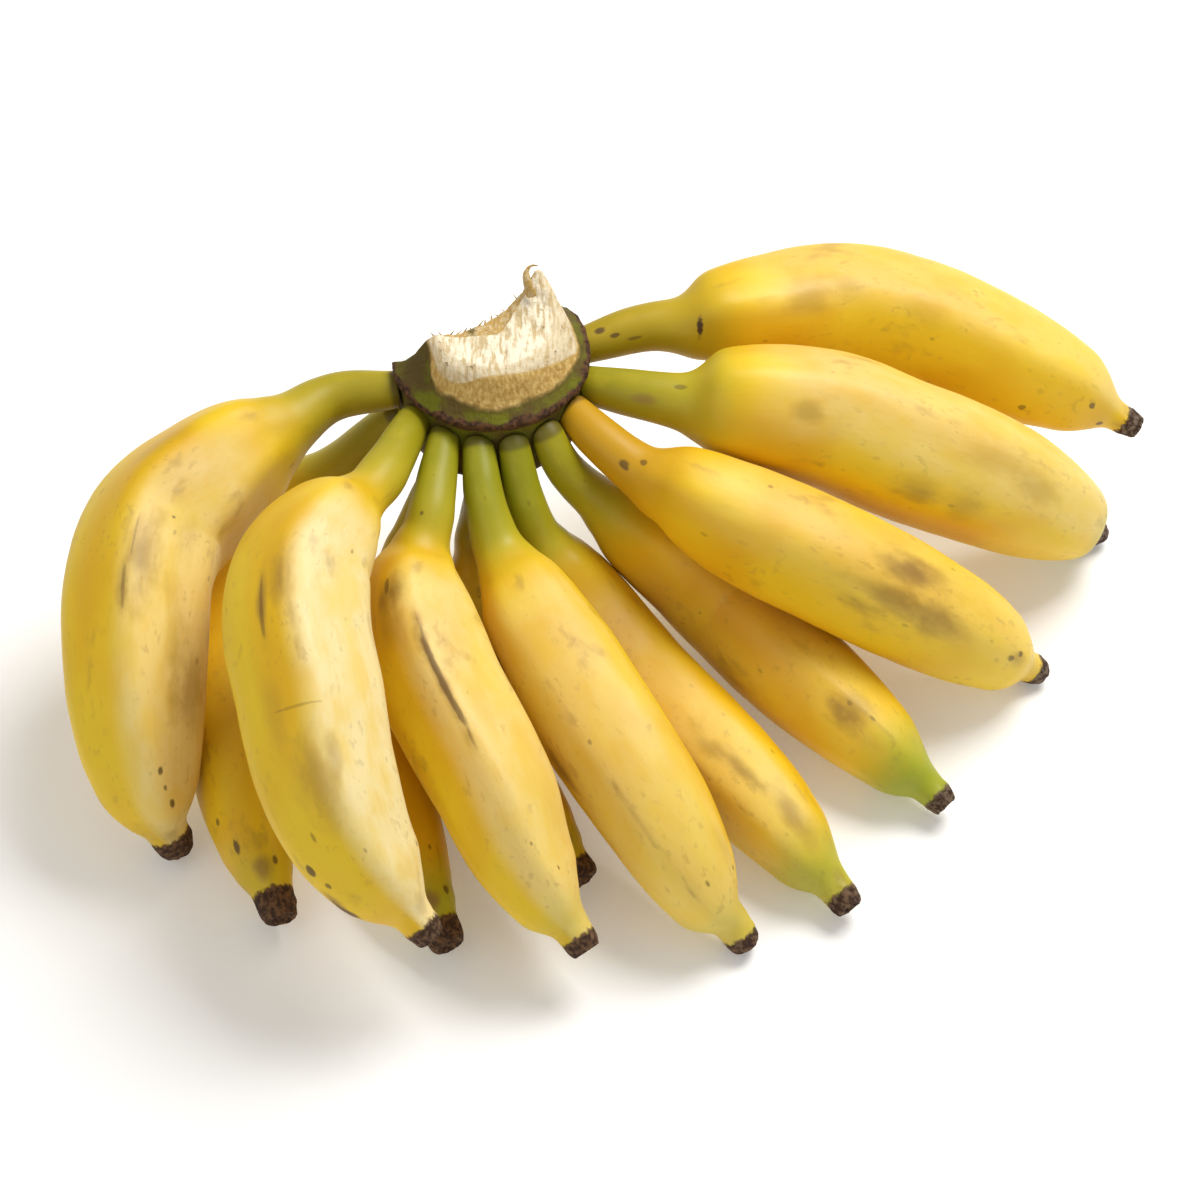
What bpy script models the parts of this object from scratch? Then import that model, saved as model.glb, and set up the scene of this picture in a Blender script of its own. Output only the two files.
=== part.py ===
"""A hand of short, thick bananas, lying on the tips and bellies of its fingers.

Metres, +Z up. The hand is designed round the middle of its crown, and then moved so that the middle of
its footprint on the table is the origin, with X along its longest extent and the table at Z = 0.
"""
import math

import bmesh
import bpy
from mathutils import Vector

MM = 0.001

# The crown: a thick D of stem tissue, cut where it left the plant's stalk
CROWN_RADIUS = 21.5
CROWN_END = 402
CROWN_ARC_POINTS = 26
CROWN_CUT_POINTS = 9
CUT_HOLLOW = 4.0
# Height above the ring's middle, share of the radius, share of the cut's hollow, and the direction
# in degrees where the round outside starts, which leans round towards the top
CROWN_LEVELS = [
    (-23.0, 0.60, 2.2, 192),
    (-21.5, 0.84, 2.2, 184),
    (-18.0, 0.97, 2.0, 181),
    (-12.0, 1.00, 1.6, 181),
    (-1.8, 1.00, 1.0, 182),
    (-1.2, 1.05, 1.0, 184),
    (0.5, 1.06, 1.0, 186),
    (1.4, 1.00, 0.9, 189),
    (3.6, 0.90, 0.7, 194),
    (7.5, 0.80, 0.5, 202),
    (10.0, 0.72, 0.3, 207),
    (10.6, 0.66, 0.3, 209),
]
# The cut face rises to its two horns and dips between them
LEFT_HORN_RISE = 3.0
RIGHT_HORN_RISE = 8.0
# How far each rise spreads, as a share of the round outside and of the cut
LEFT_HORN_SPREAD = 0.25
RIGHT_HORN_SPREAD = 0.3
LEFT_HORN_CUT_SPREAD = 0.4
RIGHT_HORN_CUT_SPREAD = 0.5

# Fingers: a loft of five-ridged sections along a smooth line
ROOT_GAP = 0.45
UPPER_ROOT_HEIGHT = -6.5
LOWER_ROOT_HEIGHT = -16.6
RIDGES = 5
SIDES_PER_RIDGE = 3
RIDGE_OUT = 1.045
RIDGE_IN = 0.985
# A section takes its full ridges where it is this share of the belly
FULL_RIDGES_AT = 0.7
FLAT_SIDES = 0.95
HIGH_BACK = 1.03
LINE_SAMPLES = 90
TABLE_HEIGHT = -65.0
# One side of the shoulder is square: it runs ahead of the profile between these shares of the length,
# and one side of the tip runs behind it
SHOULDER_LEAD = 0.028
SHOULDER_STARTS = (0.165, 0.205)
SHOULDER_ENDS = (0.28, 0.48)
SQUARE_DELAY = 0.030
SQUARE_STARTS = (0.145, 0.185)
SQUARE_ENDS = (0.205, 0.255)
TIP_LAG = 0.024
TIP_STARTS = (0.66, 0.86)
TIP_ENDS = (0.915, 0.95)
WELD_DISTANCE = 1e-7
SHARP_ANGLE = 50

# Share of a finger's length, then the shares of the stem's, the belly's and the cap's radius
PROFILE = [
    (0.000, 0.86, 0.00, 0.00),
    (0.060, 1.02, 0.00, 0.00),
    (0.140, 1.14, 0.02, 0.00),
    (0.185, 1.16, 0.13, 0.00),
    (0.205, 0.58, 0.36, 0.00),
    (0.225, 0.00, 0.58, 0.00),
    (0.250, 0.00, 0.71, 0.00),
    (0.290, 0.00, 0.83, 0.00),
    (0.350, 0.00, 0.93, 0.00),
    (0.430, 0.00, 0.99, 0.00),
    (0.530, 0.00, 1.00, 0.00),
    (0.630, 0.00, 0.99, 0.00),
    (0.720, 0.00, 0.94, 0.00),
    (0.790, 0.00, 0.86, 0.00),
    (0.850, 0.00, 0.74, 0.00),
    (0.900, 0.00, 0.57, 0.00),
    (0.936, 0.00, 0.08, 1.12),
    (0.953, 0.00, 0.00, 1.00),
    (0.985, 0.00, 0.00, 1.00),
    (1.000, 0.00, 0.00, 0.76),
]

# Each finger: its root's direction on the crown, its stem's, its belly's and its cap's radius, how its
# ridges are turned at the root and how far they twist to the tip, how high they stand, which way the
# shoulder's fuller side looks, how early and how square the shoulder starts, how uneven the tip is, and
# the line it follows in millimetres from the middle of the crown's ring.
# Directions and turns are in degrees, those round a finger counted from its back.
UPPER_FINGERS = [
    dict(root=192, stem=5.0, belly=16.8, cap=4.6, ridges=28, twist=-75,
         relief=2.1, shoulder=85, early=0.3, square=0.3, tip=-0.5,
         line=[(-37, -5.5, -8.5), (-50, -16, -11), (-63, -24.7, -15), (-73.8, -35.3, -18.5),
               (-77.5, -50, -22), (-78, -66, -28), (-77.5, -80, -37), (-75, -89, -48),
               (-69.5, -94, -62)]),
    dict(root=219, stem=4.6, belly=16.4, cap=4.2, ridges=10, twist=-24,
         relief=1.7, shoulder=80, early=-0.6, square=1.3, tip=0.2,
         line=[(-24, -35, -3), (-32, -50, -2), (-39, -63, -3), (-40, -78, -5), (-37, -92, -10),
               (-33.8, -106.3, -16.5), (-27, -119, -25.5), (-11, -132, -41)]),
    dict(root=242, stem=4.3, belly=14.0, cap=4.1, ridges=18, twist=-34,
         relief=2.2, shoulder=80, early=0.0, square=0.9, tip=1.0,
         line=[(-12.5, -36, -10), (-14.5, -47, -17), (-15, -58, -21), (-11, -74, -25), (-4, -89, -28),
               (2, -101, -31), (8, -112, -38), (22, -128.5, -51)]),
    dict(root=263, stem=4.25, belly=14.2, cap=4.0, ridges=30, twist=-10,
         relief=1.1, shoulder=-60, early=0.0, square=0.3, tip=1.4,
         line=[(-1, -33, -13), (3, -43, -22), (10, -55, -28), (18, -68, -31), (26, -82, -34),
               (35, -95.5, -39), (45, -108.5, -47), (57, -119, -63)]),
    dict(root=284, stem=4.15, belly=13.2, cap=3.9, ridges=30, twist=-12,
         relief=1.2, shoulder=-60, early=0.2, square=0.0, tip=0.9,
         line=[(8, -29, -18), (13, -33, -32), (22, -39, -45), (32, -51, -51), (43, -65, -52),
               (54, -78, -53), (66, -93, -54), (80, -111, -60)]),
    dict(root=305, stem=4.3, belly=13.2, cap=3.8, ridges=14, twist=-12,
         relief=1.0, shoulder=40, early=0.4, square=0.0, tip=0.9,
         line=[(16.8, -22.3, -13.8), (27, -23.4, -26.5), (42.3, -25.4, -41), (55, -33.2, -50.5),
               (65, -46, -51), (77.5, -59.5, -52), (89.5, -71, -54), (103, -83, -60)]),
    dict(root=328, stem=4.9, belly=14.4, cap=3.6, ridges=30, twist=0,
         relief=1.0, shoulder=-50, early=0.6, square=0.0, tip=0.5,
         line=[(26, -20, -8), (35.5, -27, -11), (47.5, -33, -14.5), (62, -36.5, -20.5),
               (78, -41.5, -26), (94, -44, -35), (110, -45, -46), (127.5, -42, -63)]),
    dict(root=352, stem=5.2, belly=16.4, cap=3.5, ridges=12, twist=0,
         relief=0.9, shoulder=0, early=1.9, square=0.0, tip=0.5,
         line=[(34, -8, -4.5), (47, -10, -5.5), (62, -10, -8), (78, -9.5, -12), (95, -12, -19),
               (113.5, -11, -30), (130.5, -7, -45), (145, 1, -63)]),
    dict(root=24, stem=5.0, belly=15.2, cap=3.6, ridges=26, twist=12,
         relief=1.4, shoulder=-30, early=1.3, square=0.0, tip=0.0,
         line=[(35, 13.5, -5), (48, 14.8, -5.5), (62, 19.8, -8.5), (80, 27, -12.5), (99, 28, -18.5),
               (118, 24, -25.5), (137, 20.5, -33.5), (153.5, 16.5, -42)]),
]
LOWER_FINGERS = [
    dict(root=187, stem=4.4, belly=12.6, cap=4.5, ridges=0, twist=0,
         relief=1.0, shoulder=80, early=0.0, square=0.0, tip=0.5,
         line=[(-35, -4, -31), (-50, -8, -44), (-58, -20, -51), (-60, -42, -53), (-57, -71, -53),
               (-51, -98, -54), (-45, -115.5, -58)]),
    dict(root=240, stem=4.3, belly=12.2, cap=4.5, ridges=12, twist=0,
         relief=1.0, shoulder=0, early=0.0, square=0.0, tip=0.0,
         line=[(-17.5, -22, -35), (-21.8, -33, -48), (-27.5, -51.5, -53), (-24, -82, -53),
               (-16, -106, -54), (-8, -122.5, -58)]),
    dict(root=268, stem=4.4, belly=12.0, cap=4.3, ridges=24, twist=0,
         relief=1.0, shoulder=0, early=0.0, square=0.0, tip=0.0,
         line=[(-2.5, -20, -36), (-1.5, -32, -48.5), (-2.5, -50, -53), (2, -77, -53), (11, -92, -54),
               (21.5, -104.5, -58.5)]),
]

PEEL_COLOUR = (0.78, 0.58, 0.08, 1.0)
CROWN_COLOUR = (0.20, 0.16, 0.05, 1.0)


def clear_scene():
    for thing in list(bpy.data.objects):
        bpy.data.objects.remove(thing, do_unlink=True)


def make_material(name, colour, roughness):
    material = bpy.data.materials.new(name)
    material.use_nodes = True
    shader = material.node_tree.nodes["Principled BSDF"]
    shader.inputs["Base Color"].default_value = colour
    shader.inputs["Roughness"].default_value = roughness
    shader.inputs["Metallic"].default_value = 0.0
    return material


def smooth_line(points, samples):
    """Points spread evenly along a smooth line that passes through the given ones."""
    knots = [0.0]
    for near, far in zip(points, points[1:]):
        knots.append(knots[-1] + math.sqrt((far - near).length))
    slopes = []
    for i in range(len(points)):
        before = max(i - 1, 0)
        after = min(i + 1, len(points) - 1)
        slopes.append((points[after] - points[before]) / (knots[after] - knots[before]))
    line = []
    piece = 0
    for i in range(samples + 1):
        place = knots[-1] * i / samples
        while piece < len(points) - 2 and place > knots[piece + 1]:
            piece += 1
        width = knots[piece + 1] - knots[piece]
        t = (place - knots[piece]) / width
        start_weight = 2 * t ** 3 - 3 * t ** 2 + 1
        line.append(
            start_weight * points[piece]
            + (t ** 3 - 2 * t ** 2 + t) * width * slopes[piece]
            + (1 - start_weight) * points[piece + 1]
            + (t ** 3 - t ** 2) * width * slopes[piece + 1])
    return line


def stations_along(line, shares):
    """The place and direction at each share of the line's length."""
    lengths = [0.0]
    for near, far in zip(line, line[1:]):
        lengths.append(lengths[-1] + (far - near).length)
    stations = []
    for share in shares:
        wanted = share * lengths[-1]
        i = 0
        while i < len(line) - 2 and lengths[i + 1] < wanted:
            i += 1
        t = (wanted - lengths[i]) / (lengths[i + 1] - lengths[i])
        before = line[max(i - 1, 0)]
        after = line[min(i + 2, len(line) - 1)]
        stations.append((line[i].lerp(line[i + 1], t), (after - before).normalized()))
    return stations


def read_profile(spec, share):
    """A finger's radius at a share of its length, and how much of its belly it has there."""
    share = min(share, PROFILE[-1][0])
    i = 0
    while PROFILE[i + 1][0] < share:
        i += 1
    t = (share - PROFILE[i][0]) / (PROFILE[i + 1][0] - PROFILE[i][0])
    stem, belly, cap = (near + (far - near) * t for near, far in zip(PROFILE[i][1:], PROFILE[i + 1][1:]))
    return stem * spec["stem"] + belly * spec["belly"] + cap * spec["cap"], belly


def ramp(value, low, high):
    """Rise smoothly from 0 to 1 between two values."""
    t = min(1.0, max(0.0, (value - low) / (high - low)))
    return t * t * (3 - 2 * t)


def ahead_of_profile(spec, share, angle):
    """How far ahead of its place a side of a finger reads the profile: its shoulder and tip are uneven."""
    lead = SHOULDER_LEAD * ramp(share, *SHOULDER_STARTS) * (1 - ramp(share, *SHOULDER_ENDS))
    lag = TIP_LAG * spec["tip"] * ramp(share, *TIP_STARTS) * (1 - ramp(share, *TIP_ENDS))
    delay = SQUARE_DELAY * spec["square"] * ramp(share, *SQUARE_STARTS) * (1 - ramp(share, *SQUARE_ENDS))
    lead *= spec["early"] + math.cos(angle - math.radians(spec["shoulder"]))
    return lead - delay - lag * math.sin(angle)


def finger_mesh(name, root_height, spec):
    """One finger: stalk, ridged body, neck and dry end, closed at both ends."""
    root_turn = math.radians(spec["root"])
    outward = Vector((math.cos(root_turn), math.sin(root_turn), 0.0))
    root = outward * (CROWN_RADIUS + ROOT_GAP) + Vector((0.0, 0.0, root_height))
    line = smooth_line([root] + [Vector(point) for point in spec["line"]], LINE_SAMPLES)
    shares = [row[0] for row in PROFILE]

    sides = RIDGES * SIDES_PER_RIDGE
    mesh = bmesh.new()
    rings = []
    direction = outward
    back = Vector((0.0, 0.0, 1.0))
    for (place, heading), share in zip(stations_along(line, shares), shares):
        if share == 0.0:
            heading = outward
        back = direction.rotation_difference(heading) @ back
        direction = heading
        ridge_turn = math.radians(spec["ridges"] + spec["twist"] * share)
        ring = []
        for side in range(sides):
            angle = 2 * math.pi * side / sides + ridge_turn
            radius, of_belly = read_profile(spec, share + ahead_of_profile(spec, share, angle))
            ridged = min(1.0, of_belly / FULL_RIDGES_AT)
            relief = RIDGE_OUT if side % SIDES_PER_RIDGE == 0 else RIDGE_IN
            reach = radius * (1 + (relief - 1) * spec["relief"] * ridged)
            up_share = math.cos(angle) * (1 + (HIGH_BACK - 1) * ridged)
            side_share = math.sin(angle) * (1 + (FLAT_SIDES - 1) * ridged)
            spoke = back * up_share + direction.cross(back) * side_share
            ring.append(mesh.verts.new((place + spoke * reach) * MM))
        rings.append(ring)
    for ring, following in zip(rings, rings[1:]):
        for i in range(sides):
            j = (i + 1) % sides
            mesh.faces.new((ring[i], ring[j], following[j], following[i]))
    mesh.faces.new(list(reversed(rings[0])))
    mesh.faces.new(rings[-1])
    rest_on_table(mesh)
    return finish_mesh(name, mesh)


def rest_on_table(mesh):
    """Press flat what would sink below the table."""
    everything = mesh.verts[:] + mesh.edges[:] + mesh.faces[:]
    table = Vector((0.0, 0.0, TABLE_HEIGHT * MM))
    cut = bmesh.ops.bisect_plane(
        mesh, geom=everything, dist=WELD_DISTANCE, plane_co=table, plane_no=(0.0, 0.0, -1.0), clear_outer=True)
    rim = [edge for edge in cut["geom_cut"] if isinstance(edge, bmesh.types.BMEdge)]
    if rim:
        bmesh.ops.holes_fill(mesh, edges=rim)


def finish_mesh(name, mesh):
    bmesh.ops.recalc_face_normals(mesh, faces=mesh.faces)
    data = bpy.data.meshes.new(name)
    mesh.to_mesh(data)
    mesh.free()
    data.shade_smooth()
    data.set_sharp_from_angle(angle=math.radians(SHARP_ANGLE))
    return data


def crown_outline(share, hollow_share, start):
    """One level of the crown: the round outside, then the hollow cut back to its start."""
    points = []
    radius = CROWN_RADIUS * share
    for i in range(CROWN_ARC_POINTS):
        turn = math.radians(start + (CROWN_END - start) * i / (CROWN_ARC_POINTS - 1))
        points.append(Vector((math.cos(turn), math.sin(turn), 0.0)) * radius)
    first, last = points[0], points[-1]
    inward = (last - first).cross(Vector((0.0, 0.0, 1.0))).normalized()
    for i in range(1, CROWN_CUT_POINTS + 1):
        t = i / (CROWN_CUT_POINTS + 1)
        bow = math.sin(math.pi * t) * CUT_HOLLOW * hollow_share
        points.append(last.lerp(first, t) + inward * bow)
    return points


def horn_lift(i, height):
    """How far a point of an outline is raised towards the nearer horn."""
    if height <= 0.0:
        return 0.0
    along = i / (CROWN_ARC_POINTS - 1)
    if along <= 1.0:
        left = max(0.0, 1 - along / LEFT_HORN_SPREAD)
        right = max(0.0, 1 - (1 - along) / RIGHT_HORN_SPREAD)
    else:
        along_cut = (i - CROWN_ARC_POINTS + 1) / (CROWN_CUT_POINTS + 1)
        left = max(0.0, 1 - (1 - along_cut) / LEFT_HORN_CUT_SPREAD)
        right = max(0.0, 1 - along_cut / RIGHT_HORN_CUT_SPREAD)
    towards_top = height / CROWN_LEVELS[-1][0]
    return (LEFT_HORN_RISE * left ** 2 + RIGHT_HORN_RISE * right ** 2) * towards_top ** 2


def crown_mesh(name):
    """The crown, lofted level by level, with its cut face rising to two horns."""
    mesh = bmesh.new()
    rings = []
    for height, share, hollow_share, start in CROWN_LEVELS:
        ring = []
        for i, point in enumerate(crown_outline(share, hollow_share, start)):
            raised = point + Vector((0.0, 0.0, height + horn_lift(i, height)))
            ring.append(mesh.verts.new(raised * MM))
        rings.append(ring)
    count = len(rings[0])
    for ring, following in zip(rings, rings[1:]):
        for i in range(count):
            j = (i + 1) % count
            mesh.faces.new((ring[i], ring[j], following[j], following[i]))
    close_level(mesh, rings[0], flip=True)
    close_level(mesh, rings[-1], flip=False)
    return finish_mesh(name, mesh)


def close_level(mesh, ring, flip):
    """A fan of faces from the middle of a level's cut to its rim."""
    middle = sum((vert.co for vert in ring), Vector()) / len(ring)
    hub = mesh.verts.new(middle)
    for i in range(len(ring)):
        corners = [ring[i], ring[(i + 1) % len(ring)], hub]
        if flip:
            corners.reverse()
        mesh.faces.new(corners)


def add_node(name, data, material, group, parent):
    thing = bpy.data.objects.new(name, data)
    data.materials.append(material)
    group.objects.link(thing)
    thing.parent = parent
    return thing


def stand_on_origin(parts, reference):
    """Move the reference so that the middle of the footprint is the origin."""
    corners = [vert.co for part in parts for vert in part.data.vertices]
    middle_x = (min(c.x for c in corners) + max(c.x for c in corners)) / 2
    middle_y = (min(c.y for c in corners) + max(c.y for c in corners)) / 2
    reference.location = (-middle_x, -middle_y, -min(c.z for c in corners))


def main():
    clear_scene()
    group = bpy.data.collections.new("hand_of_bananas")
    bpy.context.scene.collection.children.link(group)
    peel = make_material("peel", PEEL_COLOUR, 0.42)
    rind = make_material("crown_rind", CROWN_COLOUR, 0.75)
    reference = bpy.data.objects.new("crown_middle", None)
    group.objects.link(reference)

    parts = [add_node("crown", crown_mesh("crown"), rind, group, reference)]
    rows = (("upper", UPPER_FINGERS, UPPER_ROOT_HEIGHT), ("lower", LOWER_FINGERS, LOWER_ROOT_HEIGHT))
    for row, fingers, root_height in rows:
        for number, spec in enumerate(fingers, start=1):
            name = f"finger_{row}_{number}"
            data = finger_mesh(name, root_height, spec)
            parts.append(add_node(name, data, peel, group, reference))
    stand_on_origin(parts, reference)
    bpy.context.view_layer.update()


main()
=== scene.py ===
"""The looks of a hand of short, ripe bananas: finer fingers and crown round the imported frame.

Metres, +Z up. Lengths in the tables are millimetres from the middle of the crown's ring.
"""
import math
import random

import bmesh
import bpy
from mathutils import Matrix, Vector


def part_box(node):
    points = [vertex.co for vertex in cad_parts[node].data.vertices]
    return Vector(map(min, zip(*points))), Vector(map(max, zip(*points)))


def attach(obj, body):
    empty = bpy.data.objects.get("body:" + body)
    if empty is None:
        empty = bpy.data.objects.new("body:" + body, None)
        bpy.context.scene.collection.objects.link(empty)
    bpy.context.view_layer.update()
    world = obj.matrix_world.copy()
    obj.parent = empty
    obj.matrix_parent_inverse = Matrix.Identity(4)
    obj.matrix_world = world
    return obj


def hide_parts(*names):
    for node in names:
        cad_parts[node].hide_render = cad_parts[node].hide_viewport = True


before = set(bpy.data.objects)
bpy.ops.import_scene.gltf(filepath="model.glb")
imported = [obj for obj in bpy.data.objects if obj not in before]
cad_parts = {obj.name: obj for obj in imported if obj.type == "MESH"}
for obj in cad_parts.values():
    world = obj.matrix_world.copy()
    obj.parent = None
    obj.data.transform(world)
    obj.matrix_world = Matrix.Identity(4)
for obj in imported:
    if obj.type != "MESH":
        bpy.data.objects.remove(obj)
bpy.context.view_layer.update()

MM = 0.001

# The crown, as its node has it
CROWN_RADIUS = 21.5
CROWN_WIDEST = 1.06
CROWN_LOWEST = -23.0
CROWN_END = 402
CUT_HOLLOW = 4.0
CROWN_ARC_SHARE = 0.72
CROWN_SIDES = 110
CROWN_STEPS = 50
LEFT_HORN_RISE = 3.0
RIGHT_HORN_RISE = 8.0
LEFT_HORN_SPREAD = 0.25
RIGHT_HORN_SPREAD = 0.3
LEFT_HORN_CUT_SPREAD = 0.4
RIGHT_HORN_CUT_SPREAD = 0.5
# The middle of the cut: its direction in degrees and its share of the radius
CUT_MIDDLE_TURN = 300
CUT_MIDDLE_REACH = 0.30
# How far in towards that middle the rings lie that close the crown's base and its cut
BASE_RINGS = (0.97, 0.8, 0.5, 0.2)
CUT_RINGS = (0.06, 0.14, 0.24, 0.36, 0.5, 0.64, 0.78, 0.9, 0.97)
# Height, share of the radius, share of the cut's hollow, direction in degrees where the outside starts
CROWN_LEVELS = [
    (-23.0, 0.60, 2.2, 192),
    (-21.5, 0.84, 2.2, 184),
    (-18.0, 0.97, 2.0, 181),
    (-12.0, 1.00, 1.6, 181),
    (-1.8, 1.00, 1.0, 182),
    (-1.2, 1.05, 1.0, 184),
    (0.5, 1.06, 1.0, 186),
    (1.4, 1.00, 0.9, 189),
    (3.6, 0.90, 0.7, 194),
    (7.5, 0.80, 0.5, 202),
    (10.0, 0.72, 0.3, 207),
    (10.6, 0.66, 0.3, 209),
]

# Fingers, as their nodes have them
ROOT_GAP = 0.45
UPPER_ROOT_HEIGHT = -6.5
LOWER_ROOT_HEIGHT = -16.6
RIDGES = 5
RIDGE_FLOOR = 0.982
RIDGE_RISE = 0.062
FULL_RIDGES_AT = 0.7
FLAT_SIDES = 0.95
HIGH_BACK = 1.03
SHOULDER_LEAD = 0.028
SHOULDER_STARTS = (0.165, 0.205)
SHOULDER_ENDS = (0.28, 0.48)
SQUARE_DELAY = 0.030
SQUARE_STARTS = (0.145, 0.185)
SQUARE_ENDS = (0.205, 0.255)
TIP_LAG = 0.024
TIP_STARTS = (0.66, 0.86)
TIP_ENDS = (0.915, 0.95)
LINE_SAMPLES = 240
FINGER_SIDES = 30
FINGER_RINGS = 56
TABLE_HEIGHT = -65.0
TABLE_CLEARANCE = 0.2
# Rings that keep the root's edge crisp, at their shares of the length, and the size of the first
ROOT_RINGS = (0.0, 0.0, 0.002, 0.008)
FIRST_RING = 0.85
# Rings that close the dry end: the share of its radius, and how far each sinks into it
END_RINGS = ((0.86, -0.25), (0.62, 0.25), (0.42, 1.0), (0.22, 0.9), (0.08, 0.2))

# Share of a finger's length, then the shares of the stem's, the belly's and the cap's radius
PROFILE = [
    (0.000, 0.86, 0.00, 0.00),
    (0.060, 1.02, 0.00, 0.00),
    (0.140, 1.14, 0.02, 0.00),
    (0.185, 1.16, 0.13, 0.00),
    (0.205, 0.58, 0.36, 0.00),
    (0.225, 0.00, 0.58, 0.00),
    (0.250, 0.00, 0.71, 0.00),
    (0.290, 0.00, 0.83, 0.00),
    (0.350, 0.00, 0.93, 0.00),
    (0.430, 0.00, 0.99, 0.00),
    (0.530, 0.00, 1.00, 0.00),
    (0.630, 0.00, 0.99, 0.00),
    (0.720, 0.00, 0.94, 0.00),
    (0.790, 0.00, 0.86, 0.00),
    (0.850, 0.00, 0.74, 0.00),
    (0.900, 0.00, 0.57, 0.00),
    (0.936, 0.00, 0.08, 1.12),
    (0.953, 0.00, 0.00, 1.00),
    (0.985, 0.00, 0.00, 1.00),
    (1.000, 0.00, 0.00, 0.80),
]

# Each finger: its root's direction on the crown, its stem's, its belly's and its cap's radius, how its
# ridges are turned at the root and how far they twist to the tip, how high they stand, which way the
# shoulder's fuller side looks, how early and how square the shoulder starts, how uneven the tip is, and
# the line it follows
FINGERS = {
    "finger_upper_1": dict(
        root=192, stem=5.0, belly=16.8, cap=4.6, ridges=28, twist=-75,
        relief=2.1, shoulder=85, early=0.3, square=0.3, tip=-0.5,
        line=[(-37, -5.5, -8.5), (-50, -16, -11), (-63, -24.7, -15), (-73.8, -35.3, -18.5),
              (-77.5, -50, -22), (-78, -66, -28), (-77.5, -80, -37), (-75, -89, -48), (-69.5, -94, -62)]),
    "finger_upper_2": dict(
        root=219, stem=4.6, belly=16.4, cap=4.2, ridges=10, twist=-24,
        relief=1.7, shoulder=80, early=-0.6, square=1.3, tip=0.2,
        line=[(-24, -35, -3), (-32, -50, -2), (-39, -63, -3), (-40, -78, -5), (-37, -92, -10),
              (-33.8, -106.3, -16.5), (-27, -119, -25.5), (-11, -132, -41)]),
    "finger_upper_3": dict(
        root=242, stem=4.3, belly=14.0, cap=4.1, ridges=18, twist=-34,
        relief=2.2, shoulder=80, early=0.0, square=0.9, tip=1.0,
        line=[(-12.5, -36, -10), (-14.5, -47, -17), (-15, -58, -21), (-11, -74, -25), (-4, -89, -28),
              (2, -101, -31), (8, -112, -38), (22, -128.5, -51)]),
    "finger_upper_4": dict(
        root=263, stem=4.25, belly=14.2, cap=4.0, ridges=30, twist=-10,
        relief=1.1, shoulder=-60, early=0.0, square=0.3, tip=1.4,
        line=[(-1, -33, -13), (3, -43, -22), (10, -55, -28), (18, -68, -31), (26, -82, -34),
              (35, -95.5, -39), (45, -108.5, -47), (57, -119, -63)]),
    "finger_upper_5": dict(
        root=284, stem=4.15, belly=13.2, cap=3.9, ridges=30, twist=-12,
        relief=1.2, shoulder=-60, early=0.2, square=0.0, tip=0.9,
        line=[(8, -29, -18), (13, -33, -32), (22, -39, -45), (32, -51, -51), (43, -65, -52),
              (54, -78, -53), (66, -93, -54), (80, -111, -60)]),
    "finger_upper_6": dict(
        root=305, stem=4.3, belly=13.2, cap=3.8, ridges=14, twist=-12,
        relief=1.0, shoulder=40, early=0.4, square=0.0, tip=0.9,
        line=[(16.8, -22.3, -13.8), (27, -23.4, -26.5), (42.3, -25.4, -41), (55, -33.2, -50.5),
              (65, -46, -51), (77.5, -59.5, -52), (89.5, -71, -54), (103, -83, -60)]),
    "finger_upper_7": dict(
        root=328, stem=4.9, belly=14.4, cap=3.6, ridges=30, twist=0,
        relief=1.0, shoulder=-50, early=0.6, square=0.0, tip=0.5,
        line=[(26, -20, -8), (35.5, -27, -11), (47.5, -33, -14.5), (62, -36.5, -20.5),
              (78, -41.5, -26), (94, -44, -35), (110, -45, -46), (127.5, -42, -63)]),
    "finger_upper_8": dict(
        root=352, stem=5.2, belly=16.4, cap=3.5, ridges=12, twist=0,
        relief=0.9, shoulder=0, early=1.9, square=0.0, tip=0.5,
        line=[(34, -8, -4.5), (47, -10, -5.5), (62, -10, -8), (78, -9.5, -12), (95, -12, -19),
              (113.5, -11, -30), (130.5, -7, -45), (145, 1, -63)]),
    "finger_upper_9": dict(
        root=24, stem=5.0, belly=15.2, cap=3.6, ridges=26, twist=12,
        relief=1.4, shoulder=-30, early=1.3, square=0.0, tip=0.0,
        line=[(35, 13.5, -5), (48, 14.8, -5.5), (62, 19.8, -8.5), (80, 27, -12.5), (99, 28, -18.5),
              (118, 24, -25.5), (137, 20.5, -33.5), (153.5, 16.5, -42)]),
    "finger_lower_1": dict(
        root=187, stem=4.4, belly=12.6, cap=4.5, ridges=0, twist=0,
        relief=1.0, shoulder=80, early=0.0, square=0.0, tip=0.5,
        line=[(-35, -4, -31), (-50, -8, -44), (-58, -20, -51), (-60, -42, -53), (-57, -71, -53),
              (-51, -98, -54), (-45, -115.5, -58)]),
    "finger_lower_2": dict(
        root=240, stem=4.3, belly=12.2, cap=4.5, ridges=12, twist=0,
        relief=1.0, shoulder=0, early=0.0, square=0.0, tip=0.0,
        line=[(-17.5, -22, -35), (-21.8, -33, -48), (-27.5, -51.5, -53), (-24, -82, -53),
              (-16, -106, -54), (-8, -122.5, -58)]),
    "finger_lower_3": dict(
        root=268, stem=4.4, belly=12.0, cap=4.3, ridges=24, twist=0,
        relief=1.0, shoulder=0, early=0.0, square=0.0, tip=0.0,
        line=[(-2.5, -20, -36), (-1.5, -32, -48.5), (-2.5, -50, -53), (2, -77, -53), (11, -92, -54),
              (21.5, -104.5, -58.5)]),
}

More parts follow.
